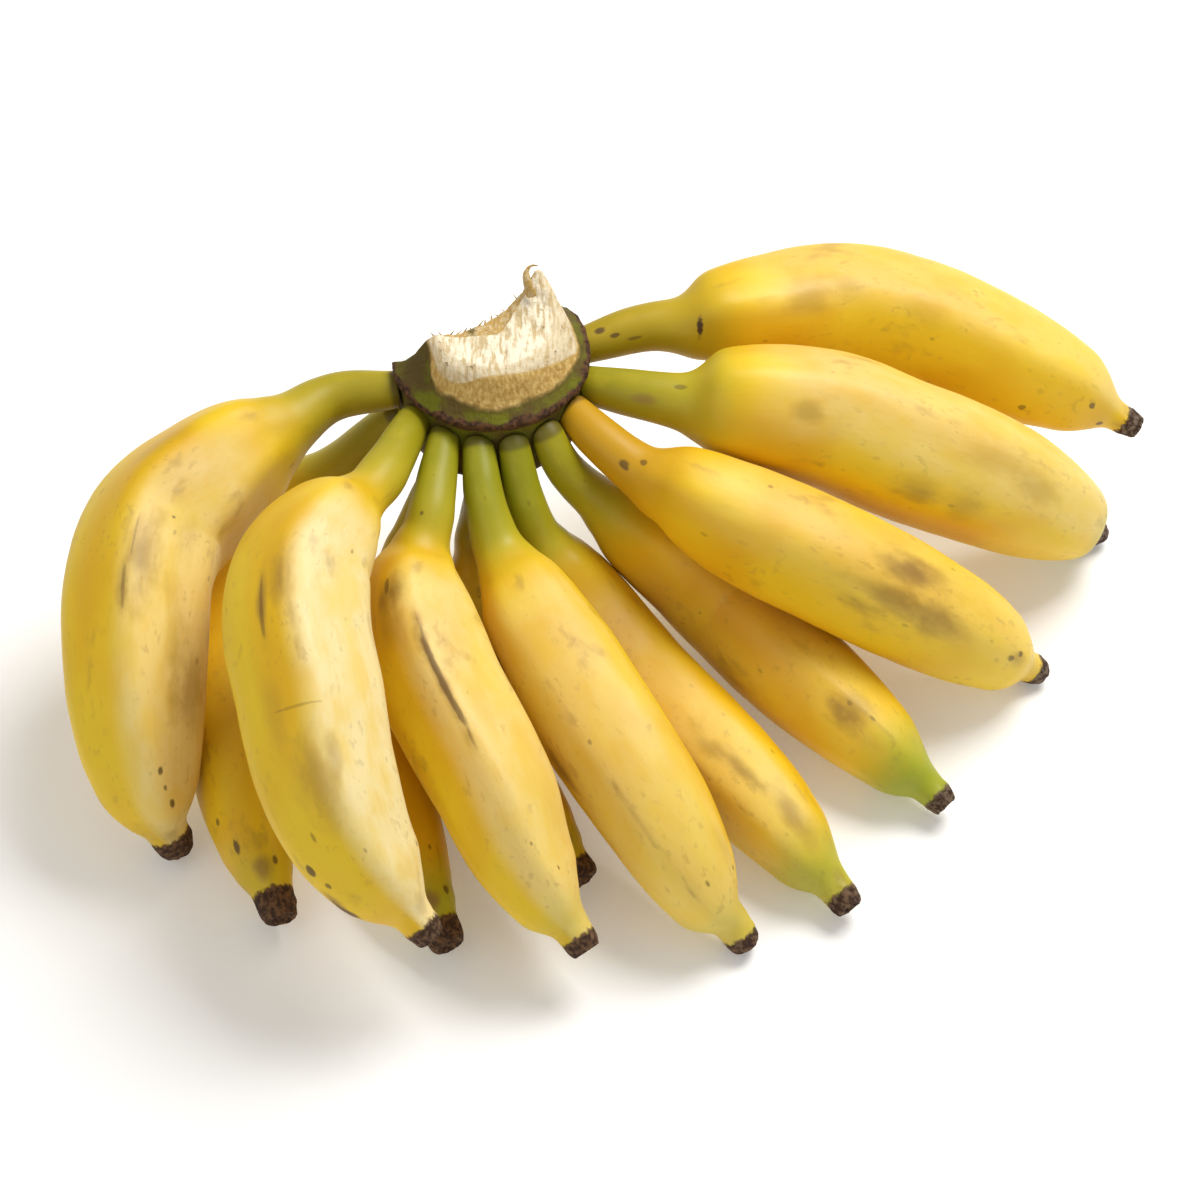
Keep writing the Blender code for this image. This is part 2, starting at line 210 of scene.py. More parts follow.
# Each finger's peel: how green its stalk and neck are; its painted highlight, a pale mottled tone painted on
# the side that faces the light, as the direction that it faces, where its edge lies and how strong it is;
# the share of the length where its cap's colour starts and how grey that is; and its marks. A bruise is soft
# and a scar is sharp, and some of each are painted shade; both have a share of the length, a direction round
# the finger, half a length, half a width and a strength.
LOOKS = {
    "finger_upper_1": dict(
        stalk=0.75, neck=0.15, painted_highlight=(285, 0.45, 0.60), cap_from=0.958, grey_cap=0.1,
        bruises_and_painted_shade=[(0.56, 335, 12, 5, 0.60), (0.60, 346, 7, 1.8, 0.70), (0.74, 284, 15, 6, 0.50),
                 (0.66, 300, 14, 4, 0.22), (0.37, 12, 9, 5, 0.22), (0.50, 300, 8, 4, 0.20)],
        scars_and_painted_shade=[(0.605, 346, 4.5, 0.5, 0.35), (0.53, 343, 5, 0.3, 0.35), (0.835, 318, 1.0, 0.7, 0.8),
               (0.86, 315, 0.8, 0.6, 0.7), (0.885, 311, 1.3, 0.8, 0.85), (0.475, 318, 0.6, 0.6, 0.6)]),
    "finger_upper_2": dict(
        stalk=0.85, neck=0.0, painted_highlight=(300, 0.50, 1.0), cap_from=0.97, grey_cap=0.2,
        bruises_and_painted_shade=[(0.46, 8, 9, 3.5, 0.62), (0.485, 24, 8, 2.0, 0.72), (0.735, 8, 12, 5, 0.42),
                 # Painted shadow: the bruise at 0.88, 62 and the scar at 0.885, 64 make a dark band along
                 # one edge near the tip
                 (0.88, 62, 15, 2.0, 0.95), (0.70, 348, 5, 2, 0.38), (0.63, 30, 9, 4, 0.22)],
        scars_and_painted_shade=[(0.485, 25, 6, 0.6, 0.42), (0.885, 64, 13, 1.3, 0.88), (0.345, 310, 1.8, 0.7, 0.75),
               (0.63, 12, 0.35, 6, 0.32),
               (0.815, 54, 1.1, 0.9, 0.85), (0.785, 32, 1.2, 0.5, 0.5), (0.875, 285, 1.2, 0.6, 0.75),
               (0.84, 50, 0.8, 0.7, 0.7)]),
    "finger_upper_3": dict(
        stalk=0.95, neck=0.25, painted_highlight=(318, 0.40, 0.50), cap_from=0.968, grey_cap=0.15,
        # Painted shade: the bruise at 0.505, 1 darkens the facet beside a crease, and the scar at 0.52, 0 is
        # a dark line in the crease
        bruises_and_painted_shade=[(0.325, 24, 5, 5, 0.75), (0.37, 32, 8, 4, 0.36), (0.505, 1, 22, 1.7, 0.72)],
        scars_and_painted_shade=[(0.52, 0, 20, 0.8, 0.66), (0.315, 30, 2, 0.8, 0.6), (0.86, 330, 0.9, 0.5, 0.75),
               (0.875, 312, 0.8, 0.6, 0.75), (0.88, 80, 1.8, 0.9, 0.85), (0.905, 76, 1.0, 0.8, 0.8),
               (0.16, 12, 0.6, 0.6, 0.7), (0.80, 350, 0.6, 0.4, 0.5)]),
    "finger_upper_4": dict(
        stalk=1.0, neck=0.35, painted_highlight=(10, 0.30, 0.30), cap_from=0.97, grey_cap=0.25,
        bruises_and_painted_shade=[(0.58, 74, 8, 3, 0.7), (0.365, 72, 5, 2, 0.6), (0.84, 312, 8, 2.5, 0.22)],
        scars_and_painted_shade=[(0.365, 72, 3, 0.7, 0.7), (0.30, 74, 0.8, 0.8, 0.6), (0.595, 20, 0.7, 0.5, 0.45)]),
    "finger_upper_5": dict(
        stalk=1.0, neck=0.75, painted_highlight=(20, 0.40, 0.25), cap_from=0.97, grey_cap=0.35,
        bruises_and_painted_shade=[(0.75, 352, 11, 3, 0.65), (0.84, 342, 8, 4, 0.60), (0.68, 0, 8, 3, 0.40)],
        scars_and_painted_shade=[(0.365, 26, 8, 0.3, 0.5), (0.90, 60, 0.8, 0.6, 0.6)]),
    "finger_upper_6": dict(
        stalk=0.9, neck=1.0, painted_highlight=(20, 0.4, 0.12), cap_from=0.972, grey_cap=0.7,
        bruises_and_painted_shade=[(0.805, 10, 8, 6, 0.80), (0.78, 16, 6, 3, 0.55), (0.62, 340, 9, 4, 0.18)],
        scars_and_painted_shade=[(0.79, 5, 0.7, 0.7, 0.4)]),
    "finger_upper_7": dict(
        stalk=0.1, neck=0.1, painted_highlight=(350, 0.50, 0.20), cap_from=0.966, grey_cap=0.8,
        bruises_and_painted_shade=[(0.61, 6, 9, 6, 0.80), (0.60, 40, 11, 4, 0.60), (0.69, 34, 9, 6, 0.65),
                 (0.56, 56, 8, 3, 0.45), (0.66, 0, 9, 5, 0.35), (0.855, 34, 3, 2.5, 0.45)],
        scars_and_painted_shade=[(0.14, 42, 1.4, 1.1, 0.75), (0.165, 16, 1.0, 0.9, 0.65), (0.845, 38, 1.2, 0.8, 0.7),
               (0.86, 28, 0.8, 0.8, 0.7), (0.36, 344, 1.0, 0.8, 0.5)]),
    "finger_upper_8": dict(
        stalk=0.85, neck=0.6, painted_highlight=(350, 0.35, 0.42), cap_from=0.966, grey_cap=0.9,
        bruises_and_painted_shade=[(0.105, 50, 3, 1.4, 0.6), (0.33, 40, 4, 3, 0.40), (0.525, 74, 7, 5, 0.34),
                 (0.605, 72, 6, 5, 0.34), (0.70, 38, 8, 4, 0.30), (0.63, 30, 10, 5, 0.20)],
        scars_and_painted_shade=[(0.15, 14, 1.4, 0.7, 0.5), (0.35, 44, 0.7, 0.6, 0.4)]),
    "finger_upper_9": dict(
        stalk=0.6, neck=0.1, painted_highlight=(335, 0.40, 0.30), cap_from=0.964, grey_cap=0.9,
        bruises_and_painted_shade=[(0.345, 28, 7, 5, 0.35), (0.42, 26, 7, 4, 0.30), (0.56, 40, 8, 5, 0.15)],
        scars_and_painted_shade=[(0.187, 47, 0.55, 2.8, 1.0), (0.785, 92, 1.0, 0.8, 0.6), (0.895, 60, 1.2, 0.9, 0.75),
               (0.93, 92, 1.8, 0.8, 0.8), (0.035, 14, 1.5, 0.9, 0.85), (0.055, 42, 1.2, 0.7, 0.8),
               (0.085, 62, 2.0, 0.5, 0.6)]),
    "finger_lower_1": dict(
        stalk=0.8, neck=0.35, painted_highlight=(0, 0.5, 0.0), cap_from=0.955, grey_cap=0.0,
        bruises_and_painted_shade=[(0.93, 330, 3, 3, 0.7)],
        scars_and_painted_shade=[(0.895, 2, 1.6, 0.9, 0.85), (0.925, 302, 1.2, 0.8, 0.8), (0.85, 20, 0.9, 0.8, 0.7)]),
    "finger_lower_2": dict(
        stalk=0.8, neck=0.8, painted_highlight=(0, 0.5, 0.0), cap_from=0.955, grey_cap=0.0,
        bruises_and_painted_shade=[(0.93, 350, 3, 3, 0.8)], scars_and_painted_shade=[(0.92, 302, 1.2, 0.8, 0.8)]),
    "finger_lower_3": dict(
        stalk=0.8, neck=0.5, painted_highlight=(0, 0.5, 0.0), cap_from=0.96, grey_cap=0.0,
        bruises_and_painted_shade=[(0.93, 0, 3, 4, 0.8)], scars_and_painted_shade=[]),
}

# Unevenness in the surfaces: the size of its pattern and its strength, in metres
DENTS = (0.018, 0.0006)
CAP_CRUST = (0.0020, 0.0007)
CROWN_LUMPS = (0.006, 0.0008)
RING_SCALES = (0.0020, 0.0008)
CUT_FIBRES = (0.0030, 0.0007)
# Where it lies: shares of a finger's length, and heights on the crown in metres
CRUST_STARTS = (0.962, 0.974)
SCALES_START = (-0.0026, -0.0014)
SCALES_END = (0.0006, 0.0014)
FIBRES_START = (0.0098, 0.0106)

# Torn fibres on the cut's rim: the curl on the right horn, and the short ones along the rest
CURL = [(9.6, 4.0, 14.5), (8.6, 5.6, 17.0), (8.2, 7.4, 18.8), (9.2, 8.9, 19.7), (11.0, 9.2, 19.3)]
CURL_RADIUS = 1.6
FRAY_COUNT = 16
FRAY_SEED = 11
FRAY_RADIUS = (0.25, 0.5)
STRAND_FLATNESS = 0.5
STRAND_TAPER = 0.88
STRAND_SAMPLES = 40
STRAND_RINGS = 12
STRAND_SIDES = 6

# Patterns in the colours: waves in a metre, along a finger and across it, or along the crown's axes
BROAD_WAVES = (28, 50, 50)
BLOTCH_WAVES = (90, 150, 150)
GRAIN_WAVES = (260, 900, 900)
SMUDGE_WAVES = (60, 130, 130)
MOTTLE_WAVES = (420, 640, 640)
SPECK_WAVES = (150, 260, 260)
CRUST_WAVES = (700, 900, 900)
CROWN_BROAD_WAVES = (180, 180, 180)
CROWN_FINE_WAVES = (900, 900, 900)
CUT_FIBRE_WAVES = (1100, 260, 420)
THREAD_WAVES = (1300, 1300, 140)

# Shares of a finger's length between which its colours change
# Shares of the length where the painted highlight, a pale tone on the lit side, starts
PAINTED_HIGHLIGHT_STARTS = (0.22, 0.34)
STALK_YELLOWS = (0.05, 0.24)
STALK_ENDS = (0.155, 0.265)
NECK_FULL = 0.935
NECK_STARTS = 0.90
NECK_SPREAD = 0.08
MOTTLES_START = (0.28, 0.36)
SPECKS_GROW = (0.78, 0.90)
ROOT_EDGE_ENDS = (0.002, 0.010)
CAP_EDGE = 0.007
RAGGED_CAP = 0.02
RAGGED_STALK = 0.05

# How strong the general marks on a peel are, and how uneven and how sharp its own marks' edges are
GRAIN_AMOUNT = 0.16
STALK_BLOTCHES = 0.35
WORN_AMOUNT = 0.30
SMUDGE_AMOUNT = 0.35
MOTTLE_AMOUNT = 0.22
SPECK_AMOUNT = 0.30
TIP_SPECK_AMOUNT = 0.45
ROOT_EDGE_AMOUNT = 0.6
# Soft marks are bruises and sharp ones scars; some of both are painted shade
SOFT_MARK_WOBBLE = 2.2
SOFT_MARK_CORE = 0.0
SHARP_MARK_WOBBLE = 1.2
SHARP_MARK_CORE = 0.6
MARK_EDGE = 1.15

# How glossy the two tissues are, and how deep their fine relief is in metres
PEEL_SPECULAR = 0.36
CROWN_SPECULAR = 0.3
BUMP_DISTANCE = 0.0006

# Heights on the crown, in metres, between which its colours change
# Below these heights the crown is darker towards its base
DARKER_BASE_ENDS = (-0.018, -0.012)
RING_STARTS = (-0.0025, -0.0018)
RING_ENDS = (0.0009, 0.0014)
LIP_BLEND = (-0.0003, 0.0004)
LIP_LINE = (0.0002, 0.0008)
WALLS_START = (-0.020, -0.014)
# Where the lip and the pale cut start, along the crown's outside from left to right: the share of the
# way and the share of the graphs' height
GRAPH_HEIGHT = 0.0115
LIP_STARTS = [(0.0, 0.80), (0.14, 0.80), (0.24, 0.34), (0.70, 0.26), (0.80, 0.22), (0.90, 0.34), (1.0, 0.16)]
CUT_STARTS = [(0.0, 0.86), (0.15, 0.84), (0.26, 0.62), (0.42, 0.84), (0.60, 0.72), (0.74, 0.42),
              (0.80, 0.28), (0.90, 0.40), (1.0, 0.20)]
# The turn round the crown, as a share of half a circle, from which that way is measured, and its end
WAY_STARTS = -1.0
WAY_ENDS = 0.2333

# The peel's and the cap's colours, with the pale colour of the painted highlight, and how softly the painted
# highlight's edge fades
DEEP_YELLOW = (0.76, 0.430, 0.005, 1.0)
YELLOW = (0.84, 0.565, 0.015, 1.0)
PAINTED_HIGHLIGHT = (0.88, 0.720, 0.350, 1.0)
PAINTED_HIGHLIGHT_FADE = 0.22
YELLOW_GREEN = (0.52, 0.435, 0.022, 1.0)
OLIVE = (0.290, 0.285, 0.007, 1.0)
AMBER = (0.60, 0.31, 0.008, 1.0)
NECK_GREEN = (0.36, 0.38, 0.020, 1.0)
# Brown and near-black for bruises and scars, also used for painted shade
BRUISE_AND_SHADE_BROWN = (0.26, 0.135, 0.032, 1.0)
SCAR_AND_SHADE_DARK = (0.082, 0.036, 0.009, 1.0)
CAP_BROWN = (0.160, 0.078, 0.032, 1.0)
CAP_GREY = (0.200, 0.150, 0.105, 1.0)
CAP_DARK = (0.045, 0.020, 0.010, 1.0)

# The crown's colours
RIND = (0.150, 0.150, 0.004, 1.0)
DRY_RIND = (0.110, 0.075, 0.014, 1.0)
SCALE = (0.125, 0.055, 0.022, 1.0)
DARK_SCALE = (0.040, 0.017, 0.008, 1.0)
# The lip's colours: cut flesh painted tan as shade on the facet below the cut; the dark tan also colours the
# cut side's walls
SHADED_FLESH_TAN = (0.660, 0.460, 0.160, 1.0)
DARK_LIP = (0.500, 0.310, 0.085, 1.0)
CUT = (0.930, 0.840, 0.640, 1.0)
DRY_CUT = (0.620, 0.470, 0.250, 1.0)

# Each lamp's place, the size of its square, its power and its colour
LAMPS_AIM = (0.0, 0.0, 0.03)
LAMPS = {
    "key": ((0.30, 0.28, 0.75), 0.45, 6.4, (1.0, 0.985, 0.95)),
    "fill": ((-0.6, -0.5, 0.6), 0.8, 1.2, (1.0, 0.99, 0.97)),
}
ROOM_BRIGHTNESS = 0.42
FLOOR_SIZE = 6.0
FLOOR_DROP = 0.0004
FLOOR_GREY = (0.93, 0.93, 0.93, 1.0)
FLOOR_GLOW = 0.15
WHITE = (1.0, 1.0, 1.0, 1.0)

# The photo's camera: a long lens well above the table
CAMERA_RISE = math.radians(50)
CAMERA_DISTANCE = 0.800
CAMERA_LENS = 106.67
CAMERA_AIM = (24.8, -48.5, -28.9)


def crown_middle():
    """The middle of the crown's ring, worked out from its node's box."""
    low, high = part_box("crown")
    reach = CROWN_RADIUS * CROWN_WIDEST * MM
    return Vector((high[0] - reach, low[1] + reach, low[2] - CROWN_LOWEST * MM))


MIDDLE = crown_middle()


def towards(degrees):
    return Vector((math.cos(math.radians(degrees)), math.sin(math.radians(degrees)), 0.0))


def ramp(value, low, high):
    """Rise smoothly from 0 to 1 between two values."""
    t = min(1.0, max(0.0, (value - low) / (high - low)))
    return t * t * (3 - 2 * t)


def smooth_line(points, samples):
    """Points spread along a smooth line that passes through the given ones."""
    knots = [0.0]
    for near, far in zip(points, points[1:]):
        knots.append(knots[-1] + math.sqrt((far - near).length))
    slopes = []
    for i in range(len(points)):
        before = max(i - 1, 0)
        after = min(i + 1, len(points) - 1)
        slopes.append((points[after] - points[before]) / (knots[after] - knots[before]))
    line = []
    piece = 0
    for i in range(samples + 1):
        place = knots[-1] * i / samples
        while piece < len(points) - 2 and place > knots[piece + 1]:
            piece += 1
        width = knots[piece + 1] - knots[piece]
        t = (place - knots[piece]) / width
        start_weight = 2 * t ** 3 - 3 * t ** 2 + 1
        line.append(
            start_weight * points[piece]
            + (t ** 3 - 2 * t ** 2 + t) * width * slopes[piece]
            + (1 - start_weight) * points[piece + 1]
            + (t ** 3 - t ** 2) * width * slopes[piece + 1])
    return line


def stations_along(line, shares):
    """The place and direction at each share of the line's length, and that length."""
    lengths = [0.0]
    for near, far in zip(line, line[1:]):
        lengths.append(lengths[-1] + (far - near).length)
    stations = []
    for share in shares:
        wanted = share * lengths[-1]
        i = 0
        while i < len(line) - 2 and lengths[i + 1] < wanted:
            i += 1
        t = (wanted - lengths[i]) / (lengths[i + 1] - lengths[i])
        before = line[max(i - 2, 0)]
        after = line[min(i + 3, len(line) - 1)]
        stations.append((line[i].lerp(line[i + 1], t), (after - before).normalized()))
    return stations, lengths[-1]


def read_table(table, at):
    """The row of a table at a place between its rows, smoothed through them."""
    at = min(max(at, table[0][0]), table[-1][0])
    i = 0
    while i < len(table) - 2 and table[i + 1][0] < at:
        i += 1
    width = table[i + 1][0] - table[i][0]
    t = (at - table[i][0]) / width
    row = []
    for column in range(1, len(table[0])):
        near, far = table[i][column], table[i + 1][column]
        before = table[max(i - 1, 0)]
        after = table[min(i + 2, len(table) - 1)]
        near_slope = (far - before[column]) / (table[i + 1][0] - before[0]) * width
        far_slope = (after[column] - near) / (after[0] - table[i][0]) * width
        if (far - near) * near_slope <= 0:
            near_slope = 0.0
        if (far - near) * far_slope <= 0:
            far_slope = 0.0
        steepest = 3 * abs(far - near)
        near_slope = max(-steepest, min(steepest, near_slope))
        far_slope = max(-steepest, min(steepest, far_slope))
        row.append(
            (2 * t ** 3 - 3 * t ** 2 + 1) * near + (t ** 3 - 2 * t ** 2 + t) * near_slope
            + (3 * t ** 2 - 2 * t ** 3) * far + (t ** 3 - t ** 2) * far_slope)
    return row


def finger_radius(spec, share):
    """A finger's radius at a share of its length, and how much of its belly it has there."""
    stem, belly, cap = read_table(PROFILE, share)
    return stem * spec["stem"] + belly * spec["belly"] + cap * spec["cap"], belly


def select_only(thing):
    bpy.ops.object.select_all(action="DESELECT")
    thing.select_set(True)
    bpy.context.view_layer.objects.active = thing


def loft(name, sides, rings, attributes):
    """Extrude a circle ring by ring; each ring gives every side's place and its attributes' values."""
    bpy.ops.object.select_all(action="DESELECT")
    bpy.ops.mesh.primitive_circle_add(vertices=sides, radius=MM, fill_type="NGON")
    piece = bpy.context.object
    piece.name = name
    data = piece.data
    data.attributes.new("side", "FLOAT", "POINT")
    for attribute in attributes:
        data.attributes.new(attribute, "FLOAT_VECTOR", "POINT")
    for i in range(sides):
        data.attributes["side"].data[i].value = i
    bpy.ops.object.mode_set(mode="EDIT")
    bpy.ops.mesh.select_all(action="SELECT")
    for number, ring in enumerate(rings):
        if number:
            bpy.ops.mesh.extrude_region_move()
        mesh = bmesh.from_edit_mesh(data)
        side_layer = mesh.verts.layers.float["side"]
        layers = [mesh.verts.layers.float_vector[attribute] for attribute in attributes]
        mesh.verts.ensure_lookup_table()
        for vert in mesh.verts[len(mesh.verts) - sides:]:
            place, values = ring[round(vert[side_layer])]
            vert.co = place
            for layer, value in zip(layers, values):
                vert[layer] = value
    bpy.ops.mesh.select_all(action="SELECT")
    bpy.ops.mesh.normals_make_consistent(inside=False)
    bpy.ops.object.mode_set(mode="OBJECT")
    data.attributes.remove(data.attributes["side"])
    return piece


def refine(piece, levels):
    """Round the piece with a subdivision surface, and shade it smooth."""
    select_only(piece)
    rounding = piece.modifiers.new("rounding", "SUBSURF")
    rounding.levels = levels
    rounding.render_levels = levels
    bpy.ops.object.modifier_apply(modifier="rounding")
    bpy.ops.object.shade_smooth()


def weigh(piece, name, weight_of):
    """A vertex group whose weights follow from the piece's growth attribute."""
    group = piece.vertex_groups.new(name=name)
    for i, entry in enumerate(piece.data.attributes["growth"].data):
        weight = weight_of(*entry.vector)
        if weight > 0.0:
            group.add([i], weight, "REPLACE")


def roughen(piece, name, size, strength, group=""):
    """Move the surface in and out by a cloud pattern of the given size."""
    texture = bpy.data.textures.new(name, "CLOUDS")
    texture.noise_scale = size
    texture.noise_depth = 2
    select_only(piece)
    uneven = piece.modifiers.new(name, "DISPLACE")
    uneven.texture = texture
    uneven.texture_coords = "LOCAL"
    uneven.strength = strength
    uneven.mid_level = 0.5
    uneven.vertex_group = group
    bpy.ops.object.modifier_apply(modifier=name)


def finger_line(name, spec):
    """The smooth line that a finger follows from its root beside the crown."""
    height = UPPER_ROOT_HEIGHT if "upper" in name else LOWER_ROOT_HEIGHT
    root = towards(spec["root"]) * (CROWN_RADIUS + ROOT_GAP) + Vector((0.0, 0.0, height))
    return smooth_line([root] + [Vector(point) for point in spec["line"]], LINE_SAMPLES)


def finger_rings(name, spec):
    """Every ring of one finger, from its root to the pit in its dry end."""
    outward = towards(spec["root"])
    shares = list(ROOT_RINGS) + [i / FINGER_RINGS for i in range(1, FINGER_RINGS + 1)]
    stations, length = stations_along(finger_line(name, spec), shares)
    direction = outward
    back = Vector((0.0, 0.0, 1.0))
    rings = []
    for (place, heading), share in zip(stations, shares):
        if share == 0.0:
            heading = outward
        back = direction.rotation_difference(heading) @ back
        direction = heading
        size = 1.0 if rings else FIRST_RING
        rings.append(finger_ring(spec, place, direction, back, share, length, size))
    end, heading = stations[-1]
    for size, sink in END_RINGS:
        rings.append(finger_ring(spec, end - heading * sink, heading, back, 1.0, length, size))
    return rings


def ahead_of_profile(spec, share, angle):
    """How far ahead of its place a side of a finger reads the profile: its shoulder and tip are uneven."""
    lead = SHOULDER_LEAD * ramp(share, *SHOULDER_STARTS) * (1 - ramp(share, *SHOULDER_ENDS))
    lag = TIP_LAG * spec["tip"] * ramp(share, *TIP_STARTS) * (1 - ramp(share, *TIP_ENDS))
    delay = SQUARE_DELAY * spec["square"] * ramp(share, *SQUARE_STARTS) * (1 - ramp(share, *SQUARE_ENDS))
    lead *= spec["early"] + math.cos(angle - math.radians(spec["shoulder"]))
    return lead - delay - lag * math.sin(angle)


def finger_ring(spec, place, direction, back, share, length, size):
    """One ring of a finger: its sides' places, and where they are along and round the unbent finger."""
    across = direction.cross(back)
    ridge_turn = math.radians(spec["ridges"] + spec["twist"] * share)
    ring = []
    for side in range(FINGER_SIDES):
        angle = 2 * math.pi * side / FINGER_SIDES
        radius, of_belly = finger_radius(spec, share + ahead_of_profile(spec, share, angle))
        radius *= size
        ridged = min(1.0, max(0.0, of_belly / FULL_RIDGES_AT))
        ridge = (0.5 + 0.5 * math.cos(RIDGES * (angle - ridge_turn))) ** 2
        reach = radius * (1 + (RIDGE_FLOOR - 1 + RIDGE_RISE * ridge) * spec["relief"] * ridged)
        up_share = math.cos(angle) * (1 + (HIGH_BACK - 1) * ridged)
        side_share = math.sin(angle) * (1 + (FLAT_SIDES - 1) * ridged)
        spot = place + (back * up_share + across * side_share) * reach
        spot.z = max(spot.z, TABLE_HEIGHT + TABLE_CLEARANCE)
        straight = (share * length * MM, math.cos(angle) * radius * MM, math.sin(angle) * radius * MM)
        ring.append((spot * MM + MIDDLE, (straight, (share, ridge * ridged, radius * MM))))
    return ring


def make_finger(name, spec):
    finger = loft(name + "_peel", FINGER_SIDES, finger_rings(name, spec), ("straight", "growth"))
    refine(finger, 2)
    roughen(finger, name + "_dents", *DENTS)
    weigh(finger, "cap", lambda share, ridge, radius: ramp(share, *CRUST_STARTS))
    roughen(finger, name + "_crust", *CAP_CRUST, "cap")
    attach(finger, "root")
    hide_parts(name)
    return finger


def crown_point(level, side, inward):
    """A point of the crown's surface at a level's height, drawn in towards its middle by a share."""
    share, hollow, start = read_table(CROWN_LEVELS, level)
    radius = CROWN_RADIUS * share
    along = side / CROWN_SIDES
    first = towards(start) * radius
    last = towards(CROWN_END) * radius
    if along <= CROWN_ARC_SHARE:
        t = along / CROWN_ARC_SHARE
        point = towards(start + (CROWN_END - start) * t) * radius
        left = max(0.0, 1 - t / LEFT_HORN_SPREAD)
        right = max(0.0, 1 - (1 - t) / RIGHT_HORN_SPREAD)
        cut = 0.0
    else:
        t = (along - CROWN_ARC_SHARE) / (1 - CROWN_ARC_SHARE)
        away = (last - first).cross(Vector((0.0, 0.0, 1.0))).normalized()
        point = last.lerp(first, t) + away * math.sin(math.pi * t) * CUT_HOLLOW * hollow
        left = max(0.0, 1 - (1 - t) / LEFT_HORN_CUT_SPREAD)
        right = max(0.0, 1 - t / RIGHT_HORN_CUT_SPREAD)
        cut = 1.0
    towards_top = max(0.0, level) / CROWN_LEVELS[-1][0]
    lift = (LEFT_HORN_RISE * left ** 2 + RIGHT_HORN_RISE * right ** 2) * towards_top ** 2
    point = point.lerp(towards(CUT_MIDDLE_TURN) * radius * CUT_MIDDLE_REACH, inward)
    point.z = level + lift * (1 - inward) ** 2
    return point, cut


def crown_rings():
    """Every ring of the crown: up from under its base, over the rim and in to the middle of the cut."""
    top = CROWN_LEVELS[-1][0]
    path = [(CROWN_LOWEST, inward) for inward in BASE_RINGS]
    path += [(CROWN_LOWEST + (top - CROWN_LOWEST) * i / CROWN_STEPS, 0.0) for i in range(CROWN_STEPS + 1)]
    path += [(top, inward) for inward in CUT_RINGS]
    rings = []
    for level, inward in path:
        ring = []
        for side in range(CROWN_SIDES):
            point, cut = crown_point(level, side, inward)
            ring.append((point * MM + MIDDLE, (tuple(point * MM), (level * MM, inward, cut))))
        rings.append(ring)
    return rings


def make_crown():
    crown = loft("crown_cushion", CROWN_SIDES, crown_rings(), ("straight", "growth"))
    refine(crown, 1)
    roughen(crown, "crown_lumps", *CROWN_LUMPS)
    weigh(crown, "scales", lambda level, inward, cut: (
        (1 - cut) * ramp(level, *SCALES_START) * (1 - ramp(level, *SCALES_END))))
    roughen(crown, "crown_scales", *RING_SCALES, "scales")
    weigh(crown, "fibres", lambda level, inward, cut: max(cut, ramp(level, *FIBRES_START)))
    roughen(crown, "crown_fibres", *CUT_FIBRES, "fibres")
    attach(crown, "root")
    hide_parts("crown")
    return crown


def strand(name, points, radius):
    """A dry fibre along a line, flattened, thickest near its root and pointed at its tip."""
    line = smooth_line([Vector(point) for point in points], STRAND_SAMPLES)
    shares = [i / STRAND_RINGS for i in range(STRAND_RINGS + 1)]
    rim = CROWN_LEVELS[-1][0] * MM
    rings = []
    for (place, heading), share in zip(stations_along(line, shares)[0], shares):
        sideways = heading.cross(Vector((0.0, 1.0, 0.3))).normalized()
        upward = sideways.cross(heading)
        reach = radius * (1 - STRAND_TAPER * share ** 1.5)
        ring = []
        for side in range(STRAND_SIDES):
            angle = 2 * math.pi * side / STRAND_SIDES
            spot = place + (sideways * math.cos(angle) + upward * math.sin(angle) * STRAND_FLATNESS) * reach
            ring.append((spot * MM + MIDDLE, (tuple(spot * MM), (rim, share, 1.0))))
        rings.append(ring)
    piece = loft(name, STRAND_SIDES, rings, ("straight", "growth"))
    refine(piece, 1)
    return piece


def make_frays():
    """The torn fibres on the rim of the cut: a curl on the right horn and short ends along the rest."""
    random.seed(FRAY_SEED)
    strands = [strand("crown_frays", CURL, CURL_RADIUS)]
    top = CROWN_LEVELS[-1][0]
    for number in range(FRAY_COUNT):
        share = CROWN_ARC_SHARE + (1 - CROWN_ARC_SHARE) * (0.04 + 0.92 * number / (FRAY_COUNT - 1))
        root, _ = crown_point(top - 0.4, share * CROWN_SIDES, 0.02)
        lean = Vector((random.uniform(-1.2, 1.2), random.uniform(-0.2, 1.0), random.uniform(0.5, 1.3)))
        points = [root - lean * 0.5, root + lean * 0.4, root + lean * 1.1]
        strands.append(strand(f"fray_{number}", points, random.uniform(*FRAY_RADIUS)))
    bpy.ops.object.select_all(action="DESELECT")
    for piece in strands:
        piece.select_set(True)
    bpy.context.view_layer.objects.active = strands[0]
    bpy.ops.object.join()
    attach(strands[0], "root")
    return strands[0]


